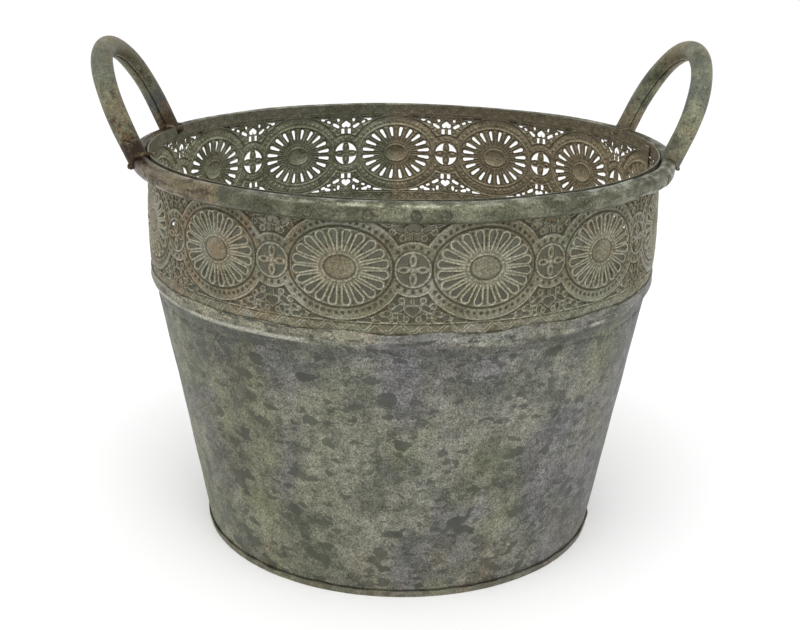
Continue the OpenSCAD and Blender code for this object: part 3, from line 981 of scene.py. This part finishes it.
def rim_material():
    """The hoop's zinc: olive, lighter along its top from rubbed wear and a painted highlight, and brown
    left of an old stain's edge.
    """
    n = Nodes("rim zinc")
    angle, height = n.azimuth(), n.height()
    grit = n.noise(650, 4.0, 0.75)
    cloud = n.noise(70, 5.0, 0.65)
    along = n.noise(130, 5.0, 0.6, coords=n.stretch(1, 1, 3.5))
    colour = n.mix(n.ramp(cloud, 0.35, 0.65), (80, 81, 65), (112, 112, 94))
    grime = n.ramp(along, 0.52, 0.64)
    colour = n.lay(colour, (58, 55, 42), grime, 0.7)
    # painted highlight along the hoop's top, partly rubbed wear, broken up by the streaks
    top_wear_and_highlight = n.times(n.ramp(height, RIM_TOP_Z - 2.4, RIM_TOP_Z - 0.6), n.ramp(along, 0.52, 0.4))
    colour = n.lay(colour, (160, 160, 144), top_wear_and_highlight, 0.55)

    uneven = n.plus(angle, n.times(n.noise(300, 2.0), 1.5))
    brown = n.times(n.ramp(uneven, STAIN_EDGE - 0.4, STAIN_EDGE + 0.8, 1, 0), n.ramp(angle, -128, -106))
    stain = n.mix(n.ramp(cloud, 0.35, 0.62), (82, 73, 55), (122, 111, 87))
    stain = n.lay(stain, (60, 49, 36), grime, 0.75)
    colour = n.lay(colour, stain, brown, 0.85)
    dark = n.between(uneven, STAIN_EDGE + 0.4, STAIN_EDGE + 11, 1.0)
    colour = n.lay(colour, (70, 70, 57), dark, 0.5)
    joint_at = math.degrees(RIM_JOINT)
    joint = n.between(angle, joint_at - 0.12, joint_at + 0.12, 0.1)
    colour = n.lay(colour, (56, 52, 42), joint, 0.7)
    colour = n.speckled(colour)
    colour = rusted_near_feet(n, colour, 36, 46)
    bump = n.plus(n.times(grit, 0.4), n.times(along, 1.0))
    roughness = n.ramp(along, 0.4, 0.65, 0.32, 0.55)
    return n.finish(colour, roughness, n.ramp(grime, 0.0, 1.0, 0.7, 0.3), bump, 0.22)


def rivet_material():
    """The hoop's zinc on its rivets: dirt in the pressed ring, bare metal on the button."""
    n = Nodes("rivet zinc")
    rise = n.attribute("rise")
    grit = n.noise(900, 3.0, 0.7)
    patchy = n.noise(420, 4.0, 0.7)
    colour = n.mix(n.ramp(patchy, 0.4, 0.6), (70, 69, 55), (106, 105, 88))
    ring = n.times(n.ramp(rise, 0.2, 0.12), n.ramp(patchy, 0.35, 0.5, 0.5, 1.0))
    stained = n.ramp(n.azimuth(), STAIN_EDGE, STAIN_EDGE + 1, 0.8, 0.0)
    colour = n.mix(stained, colour, (100, 89, 70))
    colour = n.lay(colour, (50, 45, 34), ring, 0.85)
    colour = n.speckled(colour)
    return n.finish(colour, 0.55, 0.2, grit, 0.1)


def rusted_near_feet(n, colour, core_far, rust_far):
    """A colour with rust round the handles' feet, heaviest on the left front one."""
    ragged = n.noise(260, 5.0, 0.7)
    deep = n.noise(420, 4.0, 0.6)
    rust = n.mix(n.ramp(deep, 0.4, 0.6), (54, 38, 23), (108, 84, 54))
    weights = {(-1, 1): 1.0, (-1, -1): 0.85, (1, -1): 0.25, (1, 1): 0.35}
    for (side, end), weight in weights.items():
        origin, across, up, _ = handle_axes(side)
        foot = origin + end * LOOP_R * across + 2.0 * up
        shades = (
            # grain, reach, limits of the eaten edge, colour, strength
            (ragged, rust_far, 2.3, 2.65, rust, 0.85),
            (deep, core_far, 2.45, 2.75, (34, 23, 14), 0.9),
        )
        for grain, far, low, high, shade, strength in shades:
            mask = n.spot(foot, 3, far * (0.5 + 0.5 * weight))
            bite = n.ramp(n.plus(n.times(grain, 4.0), mask), low, high)
            bite = n.times(bite, n.ramp(mask, 0.02, 0.2))
            colour = n.lay(colour, shade, bite, strength * weight)
    return colour


def handle_material():
    """The handles' zinc: patches of grey-green, olive and brown, with rust at the feet."""
    n = Nodes("handle zinc")
    axes = n.axes(n.place)
    grit = n.noise(650, 4.0, 0.75)
    cloud = n.noise(90, 5.0, 0.68)
    patch = n.noise(40, 3.0, 0.6)
    other = n.noise(52, 3.0, 0.6, coords=n.stretch(1.2, 1.0, 0.8))
    colour = n.mix(n.ramp(cloud, 0.38, 0.6), (80, 81, 65), (120, 120, 98))
    colour = n.lay(colour, (86, 92, 82), n.ramp(patch, 0.53, 0.6), 0.7)
    colour = n.lay(colour, (126, 113, 88), n.ramp(patch, 0.46, 0.4), 0.6)
    colour = n.lay(colour, (128, 128, 102), n.ramp(other, 0.54, 0.64), 0.6)
    left = n.ramp(axes["X"], 0.03, -0.03)
    colour = n.lay(colour, (98, 91, 70), left, n.ramp(other, 0.5, 0.42, 0.2, 0.8))
    spots = n.ramp(n.noise(150, 5.0, 0.7), 0.58, 0.66)
    colour = n.lay(colour, (64, 52, 38), spots, 0.85)
    origin, across, up, _ = handle_axes(-1)
    slate = n.spot(origin - (LOOP_R + 1) * across + 17 * up, 6, 12)
    slate = n.times(slate, n.ramp(cloud, 0.36, 0.5, 0.4, 0.9))
    colour = n.mix(slate, colour, (64, 70, 70))
    colour = n.speckled(colour)
    colour = rusted_near_feet(n, colour, 16, 22)
    bump = n.plus(n.times(grit, 0.4), n.times(cloud, 1.0))
    return n.finish(colour, n.ramp(cloud, 0.35, 0.65, 0.46, 0.6), 0.2, bump, 0.22)


def weld_material(name, rust):
    """A weld bead: burnt metal under rust, the more rust the darker."""
    n = Nodes(name)
    rough = n.noise(500, 5.0, 0.7)
    deep = n.noise(260, 3.0, 0.6)
    bare = n.mix(n.ramp(rough, 0.35, 0.65), (84, 80, 62), (120, 115, 94))
    rusty = n.mix(n.ramp(rough, 0.38, 0.62), (38, 27, 17), (78, 60, 39))
    rusty = n.lay(rusty, (110, 98, 74), n.ramp(deep, 0.52, 0.62), 0.6)
    spread = 0.34 * rust + 0.3
    colour = n.mix(n.ramp(deep, spread - 0.1, spread + 0.1, rust, 0.2 * rust), bare, rusty)
    return n.finish(colour, 0.8, 0.1, rough, 0.5)


# ---- the whole bucket

galvanised = wall_material("galvanised wall")
galvanised_under = wall_material("galvanised base", under=True)
stamped = band_material()
rim_zinc = rim_material()
handle_zinc = handle_material()

make_wall(galvanised)
make_base(galvanised_under)
make_band(stamped)
make_band_lap(stamped)
make_rim(rim_zinc)
make_rivets(rivet_material())
# how rusty each foot's weld is, from 0 to 1
FOOT_RUST = {"left_front": 1.0, "left_back": 0.9, "right_front": 0.3, "right_back": 0.4}
for side, name in ((-1, "left"), (1, "right")):
    make_handle(f"{name}_handle_tube", side, handle_zinc, f"{name}_handle")
    for end, place_name in ((-side, "front"), (side, "back")):
        rust = FOOT_RUST[f"{name}_{place_name}"]
        seed = RNG_SEED + 7 * side + end
        metal = weld_material(f"{name} {place_name} weld", rust)
        node = f"{name}_{place_name}_weld"
        make_weld(f"{node}_bead", side, end, metal, seed, rust, node)


# ---- floor, light and camera

scene = bpy.context.scene
scene.view_settings.view_transform = "Standard"
scene.view_settings.look = "None"


def make_floor(half):
    """A wide pale floor under the bucket, with half its width in metres."""
    mesh = bpy.data.meshes.new("floor")
    corners = [(-half, -half, 0), (half, -half, 0), (half, half, 0), (-half, half, 0)]
    mesh.from_pydata(corners, [], [(0, 1, 2, 3)])
    material = bpy.data.materials.new("pale floor")
    material.use_nodes = True
    shader = material.node_tree.nodes["Principled BSDF"]
    shader.inputs["Base Color"].default_value = srgb(254, 254, 254)
    shader.inputs["Roughness"].default_value = 0.9
    shader.inputs["Specular IOR Level"].default_value = 0.1
    mesh.materials.append(material)
    floor = bpy.data.objects.new("floor", mesh)
    scene.collection.objects.link(floor)


def make_world(strength):
    """Even white light from all round."""
    world = bpy.data.worlds.new("studio")
    world.use_nodes = True
    background = world.node_tree.nodes["Background"]
    background.inputs["Color"].default_value = srgb(255, 255, 255)
    background.inputs["Strength"].default_value = strength
    scene.world = world


def make_softbox(name, where, aim, size, power):
    """A rectangular lamp turned towards a point, in metres and watts."""
    light = bpy.data.lights.new(name, "AREA")
    light.shape = "RECTANGLE"
    light.size, light.size_y = size
    light.energy = power
    lamp = bpy.data.objects.new(name, light)
    lamp.location = where
    lamp.rotation_euler = (Vector(aim) - Vector(where)).to_track_quat("-Z", "Y").to_euler()
    scene.collection.objects.link(lamp)


def make_camera():
    """A camera in front, looking down at the bucket, at the photograph's angle.

    aside is how far it looks past the bucket's axis."""
    distance, height = 0.5976, 0.3035
    pitch, roll, azimuth, aside = (math.radians(v) for v in (18.42, 0.86, -3.08, 0.05))
    lens = bpy.data.cameras.new("camera")
    lens.sensor_width = 36.0
    lens.sensor_fit = "HORIZONTAL"
    lens.lens = 55.0
    lens.clip_start = 0.01
    camera = bpy.data.objects.new("camera", lens)
    turn = Matrix.Rotation(azimuth + aside, 4, "Z")
    tip = Matrix.Rotation(math.pi / 2 - pitch, 4, "X")
    pose = turn @ tip @ Matrix.Rotation(roll, 4, "Z")
    pose.translation = Matrix.Rotation(azimuth, 3, "Z") @ Vector((0, -distance, height))
    camera.matrix_world = pose
    scene.collection.objects.link(camera)
    scene.camera = camera


make_floor(half=25.0)
make_world(strength=1.0)
make_softbox("overhead softbox", where=(-0.1, -0.7, 1.5), aim=(0, 0, 0.1), size=(1.3, 0.7), power=8.0)
make_softbox("front fill", where=(0.4, -1.6, 0.8), aim=(0, 0, 0.12), size=(1.2, 0.9), power=2.5)
make_camera()
